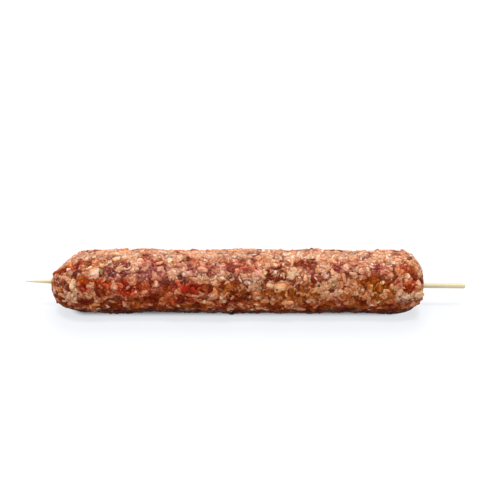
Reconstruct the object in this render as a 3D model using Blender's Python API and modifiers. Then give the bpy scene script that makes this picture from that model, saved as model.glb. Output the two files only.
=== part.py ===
"""Kofta skewer: a log of raw minced meat, pressed round a thin bamboo stick and laid on a table.

Frame: +X runs along the stick towards its blunt end, +Y is sideways and +Z is up. The origin is on the table,
under the middle of the whole thing. Every length is in metres and every angle in degrees.
"""

import math
from collections import namedtuple

import bmesh
import bpy
from mathutils import Vector, noise

# The stick: a 200 mm bamboo skewer of 2.5 mm, with a long point at -X and a cut end at +X.
STICK_LENGTH = 0.200
STICK_RADIUS = 0.00125
POINT_LENGTH = 0.016
POINT_TIP_RADIUS = 0.0002
CUT_END_CHAMFER = 0.0002
STICK_TILT = 0.72
STICK_MIDDLE_HEIGHT = 0.0121
STICK_SIDES = 20

# The log of mince. Its section is an oval that the table cuts flat underneath.
POINT_SHOWING = 0.0122
CUT_END_SHOWING = 0.0198
LOG_WIDTH = 0.0288
LOG_HEIGHT = 0.0279
TABLE_CUT = 0.0009
SAG = 0.03
BORE_CLEARANCE = 0.0003

# Its rounded ends: the length of each, and how full it is, from 2 for an ellipse upwards.
END_LENGTH = 0.020
POINT_END_FULLNESS = 2.4
CUT_END_FULLNESS = 3.0
DIMPLE_DEPTH = 0.0009

# The point end leans back over the side at this angle up from +Y, as a hand smoothed it off there.
POINT_END_SLANT = 0.028
SLANT_ANGLE = 58

# How uneven the mince is: the reach of each kind of lump along the surface, and its greatest height.
Lumps = namedtuple("Lumps", "reach height seed")
HAND_WAVES = Lumps(reach=0.030, height=0.0003, seed=(3.1, 7.7, 1.9))
KNEADED_LUMPS = Lumps(reach=0.0115, height=0.0006, seed=(12.4, 5.2, 8.6))
COARSE_CRUMBS = Lumps(reach=0.0052, height=0.0007, seed=(41.7, 23.5, 6.3))
MEANDER = Lumps(reach=0.070, height=0.0004, seed=(9.3, 2.8, 4.4))

# Where fingers pressed it: the distance along the log, the angle up from +Y, the depth and the reach.
Press = namedtuple("Press", "along angle depth reach")
FINGER_PRESSES = (
    Press(along=-0.0790, angle=70, depth=0.0004, reach=0.0080),
    Press(along=-0.0430, angle=205, depth=0.0005, reach=0.0080),
    Press(along=-0.0120, angle=335, depth=0.0007, reach=0.0100),
    Press(along=0.0470, angle=222, depth=0.0006, reach=0.0060),
    Press(along=0.0510, angle=20, depth=0.0006, reach=0.0100),
)

# The net of faces: rings along the outside, along one end and along the bore, and faces round the log.
BODY_RINGS = 72
END_RINGS = 13
BORE_RINGS = 8
LOG_SIDES = 44

RAW_MINCE = (0.42, 0.145, 0.075)
BAMBOO = (0.80, 0.64, 0.38)

STICK_TIP = -STICK_LENGTH / 2
STICK_CUT = STICK_LENGTH / 2
LOG_START = STICK_TIP + POINT_SHOWING
LOG_FINISH = STICK_CUT - CUT_END_SHOWING
HALF_WIDTH = LOG_WIDTH / 2
HALF_HEIGHT = (LOG_HEIGHT + TABLE_CUT) / 2
LOG_MIDDLE_HEIGHT = HALF_HEIGHT - TABLE_CUT


def clear_scene():
    for obj in list(bpy.data.objects):
        bpy.data.objects.remove(obj)


def new_collection(name):
    made = bpy.data.collections.new(name)
    bpy.context.scene.collection.children.link(made)
    return made


def new_material(name, colour, roughness):
    material = bpy.data.materials.new(name)
    material.use_nodes = True
    shader = material.node_tree.nodes["Principled BSDF"]
    shader.inputs["Base Color"].default_value = (*colour, 1.0)
    shader.inputs["Roughness"].default_value = roughness
    shader.inputs["Metallic"].default_value = 0.0
    return material


def turned(name, profile, closed, sides):
    """A mesh turned about the X axis from (x, radius) points, with its faces pointing out."""
    points = [(x, 0.0, radius) for x, radius in profile]
    edges = [(i, i + 1) for i in range(len(points) - 1)]
    if closed:
        edges.append((len(points) - 1, 0))
    outline = bpy.data.meshes.new(name + "_outline")
    outline.from_pydata(points, edges, [])
    lathe = bpy.data.objects.new(name + "_lathe", outline)
    bpy.context.scene.collection.objects.link(lathe)
    screw = lathe.modifiers.new("Turn", "SCREW")
    screw.axis = "X"
    screw.steps = sides
    screw.render_steps = sides
    screw.use_merge_vertices = True
    screw.merge_threshold = 0.000001
    bpy.context.view_layer.update()
    graph = bpy.context.evaluated_depsgraph_get()
    mesh = bpy.data.meshes.new_from_object(lathe.evaluated_get(graph))
    bpy.data.objects.remove(lathe)
    mesh.name = name
    face_outwards(mesh)
    return mesh


def face_outwards(mesh):
    work = bmesh.new()
    work.from_mesh(mesh)
    bmesh.ops.recalc_face_normals(work, faces=work.faces)
    work.to_mesh(mesh)
    work.free()


def stick_radius(x):
    """The stick's radius at a place along it: a whittled cone, then a plain rod."""
    share = min(1.0, (x - STICK_TIP) / POINT_LENGTH)
    return POINT_TIP_RADIUS + share * (STICK_RADIUS - POINT_TIP_RADIUS)


def bore_radius(x):
    return stick_radius(x) + BORE_CLEARANCE


def stick_profile():
    """The stick's outline from its point to its cut end, both ends closed on the axis."""
    return [
        (STICK_TIP, 0.0),
        (STICK_TIP, POINT_TIP_RADIUS),
        (STICK_TIP + POINT_LENGTH, STICK_RADIUS),
        (STICK_CUT - CUT_END_CHAMFER, STICK_RADIUS),
        (STICK_CUT, STICK_RADIUS - CUT_END_CHAMFER),
        (STICK_CUT, 0.0),
    ]


def stick_height(x):
    """The height of the stick's axis: it dips towards its cut end."""
    return STICK_MIDDLE_HEIGHT - x * math.tan(math.radians(STICK_TILT))


def make_stick(collection, material):
    stick = bpy.data.objects.new("bamboo_stick", turned("bamboo_stick", stick_profile(), False, STICK_SIDES))
    stick.location = (0.0, 0.0, STICK_MIDDLE_HEIGHT)
    stick.rotation_euler = (0.0, math.radians(STICK_TILT), 0.0)
    stick.data.materials.append(material)
    collection.objects.link(stick)
    return stick


def end_rings(fullness):
    """(distance in from the end, share of the full radius) over one rounded end, from the bore outwards."""
    rings = []
    for ring in range(END_RINGS):
        turn = math.radians(90) * ring / END_RINGS
        share = math.sin(turn) ** (2 / fullness)
        distance = END_LENGTH * (1 - math.cos(turn) ** (2 / fullness))
        dimple = DIMPLE_DEPTH * (1 - share) ** 3
        rings.append((distance + dimple, share))
    return rings


def ring_at(x, share):
    """(x, radius) of a ring of the log, where share is 0 on the bore's wall and 1 on the full body."""
    return x, bore_radius(x) + share * (HALF_WIDTH - bore_radius(x))


def log_profile():
    """The log's outline with its bore, as a ring: over the cut end, the body and the point end, and back inside."""
    cut_end = [ring_at(LOG_FINISH - distance, share) for distance, share in end_rings(CUT_END_FULLNESS)]
    point_end = [ring_at(LOG_START + distance, share) for distance, share in end_rings(POINT_END_FULLNESS)]
    body_start = LOG_START + END_LENGTH
    body_finish = LOG_FINISH - END_LENGTH
    body = []
    for ring in range(BODY_RINGS + 1):
        body.append(ring_at(body_finish + (body_start - body_finish) * ring / BODY_RINGS, 1.0))
    shoulder = STICK_TIP + POINT_LENGTH
    bore = []
    for ring in range(BORE_RINGS):
        bore.append(ring_at(shoulder + (LOG_FINISH - shoulder) * ring / BORE_RINGS, 0.0))
    return cut_end + body + point_end[::-1] + bore


def lump(kind, place):
    return kind.height * noise.noise(place / kind.reach + Vector(kind.seed))


def pressed_depth(x, y, z):
    """How far finger presses push the surface in at a point, with z taken from the log's middle."""
    depth = 0.0
    for press in FINGER_PRESSES:
        angle = math.radians(press.angle)
        centre = Vector((press.along, HALF_WIDTH * math.cos(angle), HALF_HEIGHT * math.sin(angle)))
        distance = (Vector((x, y, z)) - centre).length
        depth += press.depth * math.exp(-((distance / press.reach) ** 2))
    return depth


def slant(x, outwards, share):
    """How far the point end is set back at a point of it: not at the bore and not on the full body."""
    if x > 0.0:
        return 0.0
    angle = math.radians(SLANT_ANGLE)
    facing = max(0.0, outwards.y * math.cos(angle) + outwards.z * math.sin(angle))
    return POINT_END_SLANT * facing * share**2 * (1 - share)


def laid_down(point):
    """Where a point of the turned log goes once the log is pressed round its tilted stick and lies on the table."""
    x, y, z = point
    radius = math.hypot(y, z)
    outwards = Vector((0.0, y / radius, z / radius))
    share = (radius - bore_radius(x)) / (HALF_WIDTH - bore_radius(x))
    taller = 1 + share * (HALF_HEIGHT / HALF_WIDTH - 1)
    spread = 1 + share * SAG * max(0.0, -outwards.z) ** 2
    place = Vector((x, y * spread, z * taller))
    place.x += slant(x, outwards, share)
    uneven = lump(HAND_WAVES, place) + lump(KNEADED_LUMPS, place) + lump(COARSE_CRUMBS, place)
    place += outwards * share * (uneven - pressed_depth(*place))
    middle = Vector((0.0, lump(MEANDER, Vector((x, 0.0, 0.0))), LOG_MIDDLE_HEIGHT))
    axis = Vector((0.0, 0.0, stick_height(x)))
    place += axis.lerp(middle, share)
    place.z = max(place.z, 0.0)
    return place


def make_log(collection, material):
    mesh = turned("minced_meat", log_profile(), True, LOG_SIDES)
    for vertex in mesh.vertices:
        vertex.co = laid_down(vertex.co)
    log = bpy.data.objects.new("minced_meat", mesh)
    mesh.materials.append(material)
    collection.objects.link(log)
    return log


def centre_sideways(log, stick):
    """Moves both so that the log, the wider of the two, reaches equally far to either side of the origin."""
    sides = [vertex.co.y for vertex in log.data.vertices]
    middle = (min(sides) + max(sides)) / 2
    for obj in (log, stick):
        obj.location.y -= middle


def main():
    clear_scene()
    collection = new_collection("Kofta skewer")
    log = make_log(collection, new_material("raw_mince", RAW_MINCE, 0.45))
    stick = make_stick(collection, new_material("bamboo", BAMBOO, 0.6))
    log.data.shade_smooth()
    stick.data.shade_smooth()
    stick.data.set_sharp_from_angle(angle=math.radians(40))
    centre_sideways(log, stick)


main()
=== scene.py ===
"""Looks of a raw kofta skewer: coarse, moist minced meat, pressed by hand round a bamboo stick.

The packed model is the frame: the mince and the stick keep its sizes and places. Every length is in metres,
apart from those of the lumps, holes and stains set by hand, which are in millimetres. +X runs along the stick
towards its cut end, +Y is sideways and +Z is up, with the table at zero.
"""

import math
from collections import namedtuple

import bmesh
import bpy
from mathutils import Matrix, Vector, noise


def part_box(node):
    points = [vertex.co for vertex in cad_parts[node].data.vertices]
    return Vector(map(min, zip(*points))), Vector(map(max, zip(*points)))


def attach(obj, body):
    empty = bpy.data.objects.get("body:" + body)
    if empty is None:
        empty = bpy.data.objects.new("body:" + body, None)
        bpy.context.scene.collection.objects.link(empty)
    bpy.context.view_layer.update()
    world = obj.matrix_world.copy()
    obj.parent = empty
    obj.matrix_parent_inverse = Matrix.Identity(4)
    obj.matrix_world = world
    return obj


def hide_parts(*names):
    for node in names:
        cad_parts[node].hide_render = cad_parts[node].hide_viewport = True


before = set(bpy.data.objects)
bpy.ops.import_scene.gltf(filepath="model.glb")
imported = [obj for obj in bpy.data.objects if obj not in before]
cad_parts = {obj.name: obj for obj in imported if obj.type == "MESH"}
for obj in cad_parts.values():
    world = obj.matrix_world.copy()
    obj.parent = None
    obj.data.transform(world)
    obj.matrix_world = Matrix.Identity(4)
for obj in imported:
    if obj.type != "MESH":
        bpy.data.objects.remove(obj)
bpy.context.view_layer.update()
LOG_LOW, LOG_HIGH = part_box("minced_meat")
MIDDLE_X = (LOG_LOW.x + LOG_HIGH.x) / 2
MIDDLE_Z = (LOG_HIGH.z + LOG_LOW.z) / 2
HALF_LENGTH = (LOG_HIGH.x - LOG_LOW.x) / 2
HALF_HEIGHT = (LOG_HIGH.z - LOG_LOW.z) / 2

bl_info = {
    "name": "Kofta Skewer Looks",
    "version": (1, 0, 0),
    "blender": (4, 5, 0),
    "location": "View3D > Sidebar > Kofta",
    "description": "Makes a raw kofta with its fat, onion, herbs and pepper, its stick and its stage",
    "category": "Object",
}

# Attributes that the mince's materials read: where a point was before it was pressed into shape, how deep it
# lies between granules, which the core's material darkens as painted shade, each crumb's own random share,
# where a point is on its own crumb, in crumb sizes, and where that crumb lies.
PLACE = "mince_place"
HOLLOW = "mince_hollow"
SHARE = "crumb_share"
OWN_PLACE = "crumb_place"
HOME = "crumb_home"

# What the geometry of a crumb reads from its point: which way it faces, its sizes and its turn.
FACING = "crumb_facing"
SIZES = "crumb_sizes"
TURN = "crumb_turn"

# The bore round the stick is closed this far inside the dimple at each end of the log.
DIMPLE = 0.0011
PLUG_RADIUS = 0.0018
PLUG_SIDES = 20

# The mince and its crumbs are drawn down to the table below the first two heights, and no crumb is scattered
# below the last.
PRESSED_HEIGHT = 0.0013
CRUMB_PRESSED_HEIGHT = 0.0004
CLEAR_OF_TABLE = 0.0014

# The mince's relief: how often its even skin is smoothed first, how wide the round edge of a granule and of a
# strand is, in sizes, and how deep pits and the listed holes are.
SMOOTHING = 10
GRANULE_EDGE = 0.30
STRAND_EDGE = 0.42
PIT_DEPTH = 0.0005
HOLE_DEPTH = 0.0009

# How much deeper crumbs are sunk in on top, where hands smoothed them, and near the table, in thicknesses.
TOP_SUNK = 0.08
BOTTOM_SUNK = 0.10

# Listed lumps have more corners than scattered crumbs, stand out more on top and are at least so thick, in
# shares of their length.
LUMP_CORNERS = (8, 8)
LUMP_RAISED = 0.12
LUMP_THICKNESS = 0.3

# The shapes that scattered strands, bits of fat and the seasoning share.
STRANDS = {"size_spread": 0.85, "roundness": 1.0, "bluntness": 3.5, "corners_along": 7, "corners_across": 3}
BITS = {"size_spread": 0.7, "roundness": 0.94, "bluntness": 2.4, "corners_along": 4, "corners_across": 4}
CHOPPED = {"size_spread": 0.5, "roundness": 0.7, "bluntness": 2.5, "corners_along": 6, "corners_across": 6}
CHOPPED |= {"spacing": 0.004, "sunk": 0.25}
CHOPPED_BEND = 0.3

# Takes all separate strands of fat out of the colour of mince.
NO_FAT = -0.5

# The reach of the small lumps on a crumb, and the gap between the seeds of the numbers drawn for it.
CRUMB_LUMPS = 0.0010
SEED_STEP = 37

# The stick's whittled point, the chamfer of its cut end, its rings of faces along the point and the rod, and
# the scale of its fibres along it and round it.
POINT_LENGTH = 0.016
POINT_TIP = 0.0002
CUT_CHAMFER = 0.0002
POINT_RINGS = 24
ROD_RINGS = 90
FIBRES_ALONG = 6
FIBRES_ROUND = 5.5

# Bits that stand out in the mince, each given one by one: its place along the log, its angle up from the front,
# its length and width, and its turn from lying along the log. Angles are in degrees.
Lump = namedtuple("Lump", "kind along angle long wide turn")
LUMPS = (
    Lump("fat", -76.2, 45, 2.8, 3.6, 10),
    Lump("fat", -75.2, 24, 5.8, 3.4, 75),
    Lump("fat", -65.6, 45, 5.0, 3.6, 5),
    Lump("fat", -57.0, 74, 4.6, 2.8, 20),
    Lump("fat", -43.9, 8, 2.8, 2.4, 0),
    Lump("fat", -38.6, 24, 2.6, 2.0, 80),
    Lump("fat", -37.1, 52, 3.4, 3.0, 0),
    Lump("fat", -28.8, 80, 4.0, 3.8, 0),
    Lump("fat", -10.2, -10, 3.8, 2.4, 0),
    Lump("pink", -66.0, -19, 4.6, 1.7, 8),
    Lump("fat", -18.5, 50, 5.6, 3.0, -8),
    Lump("pink", 8.2, -11, 3.6, 2.4, 0),
    Lump("fat", 10.4, 21, 3.4, 2.3, -25),
    Lump("fat", 15.3, 17, 4.2, 4.0, 0),
    Lump("onion", 20.0, 44, 6.2, 4.2, 80),
    Lump("pink", 18.0, -14, 6.0, 1.8, 0),
    Lump("onion", 36.4, 25, 3.6, 2.0, 100),
    Lump("pink", 41.6, 21, 3.0, 2.2, 70),
    Lump("pink", 39.0, 3, 3.8, 2.6, 0),
    Lump("fat", 44.0, 55, 4.4, 3.2, 80),
    Lump("fat", 43.8, 14, 1.8, 1.7, 0),
    Lump("fat", 50.0, 2, 3.2, 2.5, 0),
    Lump("fat", 65.3, 16, 3.2, 2.2, 75),
    Lump("fat", 67.0, 72, 3.6, 2.6, 0),
    Lump("onion", 75.5, -3, 5.0, 2.6, 12),
    Lump("herb", -62.6, 47, 3.2, 1.1, 100),
    Lump("herb", 38.6, 23, 2.6, 1.2, 95),
    Lump("herb", 77.4, 4, 2.2, 1.2, 80),
)

# Deep little holes in the mince, given in the same way.
Hole = namedtuple("Hole", "along angle long wide")
HOLES = (
    Hole(-59.6, 57, 4.2, 1.3),
    Hole(-51.4, 44, 2.4, 1.7),
    Hole(-42.0, 61, 2.6, 1.8),
    Hole(-14.0, 56, 1.2, 3.4),
    Hole(57.3, 47, 3.0, 1.7),
    Hole(63.8, 54, 1.6, 1.3),
    Hole(61.8, 87, 1.5, 1.1),
    Hole(53.6, 33, 2.6, 1.4),
    Hole(-25.6, 28, 3.0, 1.6),
)

# Where the mince is another colour over some width: fresh red, as dark pink as wine, mauve, pale and fatty,
# amber with spice, or dark. Plain ones only keep the random drifts of colour away. Share is how strongly.
PATCHES = ("red", "wine", "mauve", "pale", "amber", "dark")
Stain = namedtuple("Stain", "kind along angle long wide share")
STAINS = (
    Stain("red", -70.0, 17, 6, 7, 0.9),
    Stain("red", -60.0, 150, 26, 9, 0.9),
    Stain("red", -51.0, 15, 14, 9, 0.9),
    Stain("red", -48.0, 14, 64, 14, 0.35),
    Stain("red", -40.0, 2, 7, 3, 0.6),
    Stain("red", -38.0, 10, 84, 4, 0.45),
    Stain("red", -28.0, -10, 5, 3.5, 1),
    Stain("red", -26.0, 20, 20, 8, 1),
    Stain("red", -10.5, 81, 6, 4, 0.8),
    Stain("red", -4.0, -5, 7, 4, 0.8),
    Stain("red", 10.0, 37, 3.5, 4, 0.8),
    Stain("red", 38.0, 165, 24, 9, 0.9),
    Stain("red", 74.0, 24, 10, 10, 1),
    Stain("wine", -84.5, 8, 3, 8, 0.5),
    Stain("wine", -73.8, 60, 6.5, 5, 0.9),
    Stain("wine", -62.5, 20, 5, 5, 0.7),
    Stain("wine", -50.0, 84, 6, 4, 0.5),
    Stain("wine", -43.0, 38, 7, 6, 0.6),
    Stain("wine", -42.4, 57, 9, 8, 1),
    Stain("wine", -34.8, 37, 10, 6, 1),
    Stain("wine", -27.0, -6, 19, 5, 0.8),
    Stain("wine", -13.9, 51, 6, 6, 1),
    Stain("wine", -8.0, 125, 18, 8, 0.9),
    Stain("wine", -4.4, 53, 12, 10, 0.9),
    Stain("wine", 1.0, 49, 6, 7, 0.8),
    Stain("wine", 3.8, 54, 7, 10, 0.9),
    Stain("wine", 14.0, 165, 22, 9, 0.8),
    Stain("wine", 40.0, 59, 5, 9, 1),
    Stain("wine", 47.2, 73, 7, 4.5, 1),
    Stain("wine", 59.0, 53, 7, 7, 0.9),
    Stain("mauve", -56.0, 47, 15, 7, 0.8),
    Stain("mauve", -38.0, 48, 84, 10, 0.5),
    Stain("mauve", -34.0, 140, 26, 10, 0.9),
    Stain("mauve", -28.0, 49, 12, 7, 1),
    Stain("mauve", 32.0, 62, 5, 8, 0.8),
    Stain("mauve", 39.0, 9, 6, 8, 0.6),
    Stain("mauve", 44.0, 54, 50, 8, 0.4),
    Stain("mauve", 63.5, 56, 5, 5, 0.7),
    Stain("pale", -84.5, 32, 6, 16, 0.6),
    Stain("pale", -79.0, 44, 8, 9, 0.8),
    Stain("pale", -78.0, 30, 7, 14, 0.9),
    Stain("pale", -77.0, 0, 13, 12, 0.8),
    Stain("pale", -75.0, 24, 5, 8, 1),
    Stain("pale", -70.0, 120, 20, 9, 0.9),
    Stain("pale", -66.0, 47, 11, 7, 0.9),
    Stain("pale", -60.0, -3, 22, 6, 0.35),
    Stain("pale", -54.0, 76, 12, 4, 0.7),
    Stain("pale", -28.8, 80, 8, 6, 0.7),
    Stain("pale", -20.0, 160, 20, 9, 0.8),
    Stain("pale", -18.0, 51, 6, 5, 0.8),
    Stain("pale", 0.0, 37, 95, 7, 0.85),
    Stain("pale", 0.0, -2, 95, 3, 0.45),
    Stain("pale", 3.0, 23, 12, 9, 0.9),
    Stain("pale", 4.0, 82, 26, 4, 0.7),
    Stain("pale", 14.0, 49, 9, 8, 0.8),
    Stain("pale", 24.0, 46, 8, 7, 0.6),
    Stain("pale", 24.0, 135, 26, 9, 0.9),
    Stain("pale", 29.0, 76, 9, 4, 0.7),
    Stain("pale", 36.0, 46, 13, 8, 0.8),
    Stain("pale", 36.0, 18, 13, 12, 0.9),
    Stain("pale", 47.0, 48, 9, 8, 0.9),
    Stain("pale", 64.0, 76, 24, 7, 1),
    Stain("pale", 68.0, 150, 16, 9, 0.7),
    Stain("pale", 71.0, -6, 17, 8, 0.9),
    Stain("pale", 73.0, 76, 14, 9, 1),
    Stain("pale", 77.0, 50, 7, 10, 0.5),
    Stain("amber", -66.0, 78, 15, 7, 0.9),
    Stain("amber", -62.0, 2, 10, 6, 0.5),
    Stain("amber", -44.0, 185, 30, 9, 0.9),
    Stain("amber", -9.0, 17, 15, 10, 0.65),
    Stain("amber", 19.0, 65, 13, 5, 1),
    Stain("amber", 20.0, 5, 28, 10, 0.9),
    Stain("amber", 26.0, 9, 100, 13, 0.6),
    Stain("amber", 28.5, 61, 8, 6, 0.8),
    Stain("amber", 38.0, 80, 14, 6, 0.5),
    Stain("amber", 48.0, 18, 8, 10, 0.6),
    Stain("amber", 56.0, 125, 20, 9, 0.9),
    Stain("amber", 58.0, 10, 18, 12, 1),
    Stain("dark", -73.8, 61, 5, 4, 0.6),
    Stain("dark", -54.0, 22, 8, 8, 0.3),
    Stain("dark", -42.4, 57, 7, 5, 0.6),
    Stain("dark", -42.0, -8, 12, 4.5, 0.65),
    Stain("dark", -28.0, -10, 12, 4, 1),
    Stain("dark", -25.0, 29, 6, 4, 0.9),
    Stain("dark", -24.6, 15, 7, 5, 0.6),
    Stain("dark", -2.0, -3, 12, 5, 0.9),
    Stain("dark", 1.0, 50, 7, 7, 0.5),
    Stain("dark", 8.0, 190, 40, 8, 0.7),
    Stain("dark", 9.6, 37, 3, 3, 0.5),
    Stain("dark", 29.0, 32, 7, 5, 0.4),
    Stain("dark", 57.3, 46, 6, 4, 0.5),
    Stain("dark", 73.0, 23, 8, 8, 0.5),
    Stain("plain", -56.0, 26, 28, 12, 0.9),
    Stain("plain", -39.0, 80, 18, 7, 1),
    Stain("plain", 20.0, 38, 14, 6, 0.6),
    Stain("plain", 40.0, 79, 20, 8, 1),
    Stain("plain", 52.0, 36, 14, 8, 0.6),
    Stain("plain", 74.0, 47, 8, 7, 0.4),
)

# What pale crumbs are tinted by in each kind of patch; the last tint is painted shade towards the underside.
TINTS = {
    "Amber": (1.0, 0.82, 0.42),
    "Red": (0.74, 0.42, 0.34),
    "Wine": (0.88, 0.66, 0.70),
    "Dark": (0.70, 0.48, 0.40),
    "Soaked": (1.0, 0.70, 0.60),
}

# What is mixed into the mince, in the order of scattering: its colour at its darkest, how much mince is smeared
# on it, how many bits lie on a square metre, and a bit's shape in shares of its length.
Seasoning = namedtuple("Seasoning", "piece kind dark cover density width thickness lumpiness")
SEASONING = (
    Seasoning("onion_bits", "onion", (0.50, 0.29, 0.165), 0.8, 700.0, 0.55, 0.30, 0.5),
    Seasoning("herb_flecks", "herb", (0.17, 0.14, 0.030), 0.5, 400.0, 0.5, 0.16, 0.4),
    Seasoning("pepper_specks", "pepper", (0.012, 0.007, 0.005), 0.3, 900.0, 0.8, 0.5, 0.6),
)

# How far the table reaches, and how much brighter the table's glow is painted just beside the contact shadow
# painted into it than further off.
TABLE_REACH = 6.0
PAINTED_HALO = 1.20

# The lights: how strong, how high, with the zenith at 90 degrees, and how wide, in degrees.
Lamp = namedtuple("Lamp", "key about strength height width")
LAMPS = (
    Lamp("key", "soft light from above", 2.6, 96, 60),
    Lamp("fill", "broad light in front", 1.2, 52, 100),
    Lamp("back", "light from behind", 1.0, 138, 50),
    Lamp("glint", "small bright light", 1.1, 82, 9),
)


def number(name, description, default, **limits):
    return bpy.props.FloatProperty(name=name, description=description, default=default, **limits)


def length(name, description, default, least=0.0):
    return number(name, description, default, min=least, unit="LENGTH", precision=5)


def share(name, description, default):
    return number(name, description, default, subtype="FACTOR")


def angle(name, description, degrees):
    return number(name, description, math.radians(degrees), subtype="ANGLE")


def whole(name, description, default, least=0):
    return bpy.props.IntProperty(name=name, description=description, default=default, min=least)


def colour(name, description, default):
    keys = {"subtype": "COLOR", "size": 3, "min": 0.0, "max": 1.0}
    return bpy.props.FloatVectorProperty(name=name, description=description, default=default, **keys)


class KoftaMince(bpy.types.PropertyGroup):
    """The body of the mince, and the colours that its crumbs share."""

    skin_detail: length("Skin Detail", "Edge of one face of the mince's skin", 0.00047)
    granule: length("Granule", "Size of the granules that the mince is packed from", 0.0032)
    granule_relief: length("Granule Relief", "How far granules stand out", 0.00038)
    strand: length("Strand", "Width of the short strands that each granule is made of", 0.00125)
    strand_relief: length("Strand Relief", "How far strands stand out", 0.00026)
    inset: length("Inset", "How far the skin lies inside the pressed form, to leave room for crumbs", 0.00015)
    lean: colour("Lean", "Plain lean mince", (0.385, 0.060, 0.0050))
    amber: colour("Spiced Lean", "Lean mince browned by its spices", (0.390, 0.098, 0.0040))
    red: colour("Fresh Lean", "Fresh red lean mince", (0.310, 0.014, 0.0040))
    wine: colour("Bluish Lean", "Lean mince as dark pink as wine", (0.345, 0.036, 0.0190))
    mauve: colour("Pale Lean", "Lean mince smeared with fat", (0.42, 0.175, 0.155))
    deep: colour("Deep Lean", "Lean mince at its darkest", (0.165, 0.008, 0.0008))
    smear: colour("Smeared Fat", "Soft fat kneaded into the lean", (0.575, 0.272, 0.143))
    pink: colour("Pink Lean", "Lean mince, pale with fat and cold", (0.60, 0.37, 0.295))
    lilac: colour("Cold Fat", "Pale mince with a bluish tinge", (0.60, 0.35, 0.310))
    fat: colour("Fat", "Raw fat", (0.70, 0.55, 0.445))
    # Painted shade: the dark colour that the core's gaps and hollows are mixed towards.
    juice: colour("Juice", "Dark juice in the gaps", (0.070, 0.005, 0.0015))
    fat_share: share("Fat Share", "Share of the strands that are fat", 0.03)


def crumb_settings(kind, about, **defaults):
    """A settings class for one kind of crumb, with its own usual values."""
    makers = (
        ("density", number, "Crumbs on a square metre"),
        ("spacing", length, "Least distance between two crumbs"),
        ("size", length, "Usual length of a crumb"),
        ("width", share, "Width of a crumb as a share of its length"),
        ("thickness", share, "Thickness of a crumb as a share of its length"),
        ("sunk", share, "How far a crumb is sunk in, as a share of its thickness"),
        ("lumpiness", share, "How lumpy a crumb is, as a share of its length"),
        ("bend", length, "How far a crumb is bent"),
        ("seed", whole, "Picks where the crumbs lie"),
    )
    rows = {key: maker(key.title(), description, defaults[key]) for key, maker, description in makers}
    return type(kind, (bpy.types.PropertyGroup,), {"__doc__": about, "__annotations__": rows})


KoftaLean = crumb_settings(
    "KoftaLean",
    "Short strands of lean mince.",
    density=160000.0,
    spacing=0.0014,
    size=0.0029,
    width=0.40,
    thickness=0.32,
    sunk=0.38,
    lumpiness=0.09,
    bend=0.0026,
    seed=4,
)
KoftaPink = crumb_settings(
    "KoftaPink",
    "Short strands of mince that is pale with fat.",
    density=150000.0,
    spacing=0.0014,
    size=0.0026,
    width=0.42,
    thickness=0.34,
    sunk=0.37,
    lumpiness=0.09,
    bend=0.0023,
    seed=17,
)
KoftaFat = crumb_settings(
    "KoftaFat",
    "Crumbs of fat.",
    density=90000.0,
    spacing=0.0015,
    size=0.0020,
    width=0.78,
    thickness=0.55,
    sunk=0.38,
    lumpiness=0.24,
    bend=0.0008,
    seed=11,
)


class KoftaSeasoning(bpy.types.PropertyGroup):
    """What is mixed into the mince: onion, herbs and pepper."""

    onion_size: length("Onion", "Usual length of a bit of onion", 0.0036)
    onion_colour: colour("Onion Colour", "Raw onion", (0.66, 0.45, 0.29))
    herb_size: length("Herb", "Usual length of a fleck of herb", 0.0022)
    herb_colour: colour("Herb Colour", "Chopped green herb", (0.40, 0.34, 0.085))
    pepper_size: length("Pepper", "Usual length of a speck of pepper", 0.0013)
    pepper_colour: colour("Pepper Colour", "Crushed black pepper", (0.035, 0.022, 0.016))
    seed: whole("Seed", "Picks where they lie", 23)


class KoftaStick(bpy.types.PropertyGroup):
    """The bamboo stick."""

    sides: whole("Sides", "Faces round the stick", 48, least=12)
    fibre_relief: length("Fibre Relief", "How far the fibres stand out", 0.00003)
    bamboo: colour("Bamboo", "Dry bamboo", (0.60, 0.52, 0.34))
    fibre: colour("Fibre", "Darker fibres in it", (0.48, 0.37, 0.19))
    soaked: colour("Soaked", "Bamboo wet with meat juice", (0.42, 0.22, 0.10))


class KoftaStage(bpy.types.PropertyGroup):
    """The table, the light and the camera."""

    camera_height: length("Camera Height", "Camera above the table", 0.1720)
    camera_distance: length("Camera Distance", "Camera in front of the stick", 0.2610)
    camera_side: length("Camera Side", "Camera along the stick", -0.0018, least=-1.0)
    camera_pitch: angle("Camera Pitch", "How far the camera looks down", 27.9)
    lens: number("Lens", "Focal length in millimetres", 50.0)
    surround: number("Surround", "Strength of the white surround", 0.30)
    table: colour("Table", "White table", (0.225, 0.225, 0.23))
    table_glow: number("Table Glow", "Light that the table gives off", 0.62)


def lamp_settings():
    """How strong, how high and how wide each light is."""
    rows = {}
    for lamp in LAMPS:
        key, title = lamp.key, lamp.key.title()
        rows[key] = number(title + " Light", f"Strength of the {lamp.about}", lamp.strength)
        rows[key + "_height"] = angle(title + " Height", f"How high the {lamp.about} stands", lamp.height)
        rows[key + "_width"] = angle(title + " Width", f"How wide the {lamp.about} is", lamp.width)
    return rows


KoftaStage.__annotations__ |= lamp_settings()


# Small makers for node trees, the same in shader and geometry trees.

# The middle of a random colour, taken off so that it pushes both ways.
HALVES = (0.5, 0.5, 0.5)


def plug(tree, socket, value):
    if isinstance(value, bpy.types.NodeSocket):
        tree.links.new(value, socket)
    else:
        socket.default_value = value


def node(tree, kind, inputs=None, **settings):
    """A new node with its settings, and its inputs linked where they are given sockets and set otherwise."""
    made = tree.nodes.new(kind)
    for name, value in settings.items():
        setattr(made, name, value)
    for key, value in (inputs or {}).items():
        plug(tree, made.inputs[key], value)
    return made


def maths(tree, operation, *values):
    return node(tree, "ShaderNodeMath", dict(enumerate(values)), operation=operation).outputs[0]


def times(tree, first, second):
    return maths(tree, "MULTIPLY", first, second)


def plus(tree, first, second):
    return maths(tree, "ADD", first, second)


def minus(tree, first, second):
    return maths(tree, "SUBTRACT", first, second)


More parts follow.
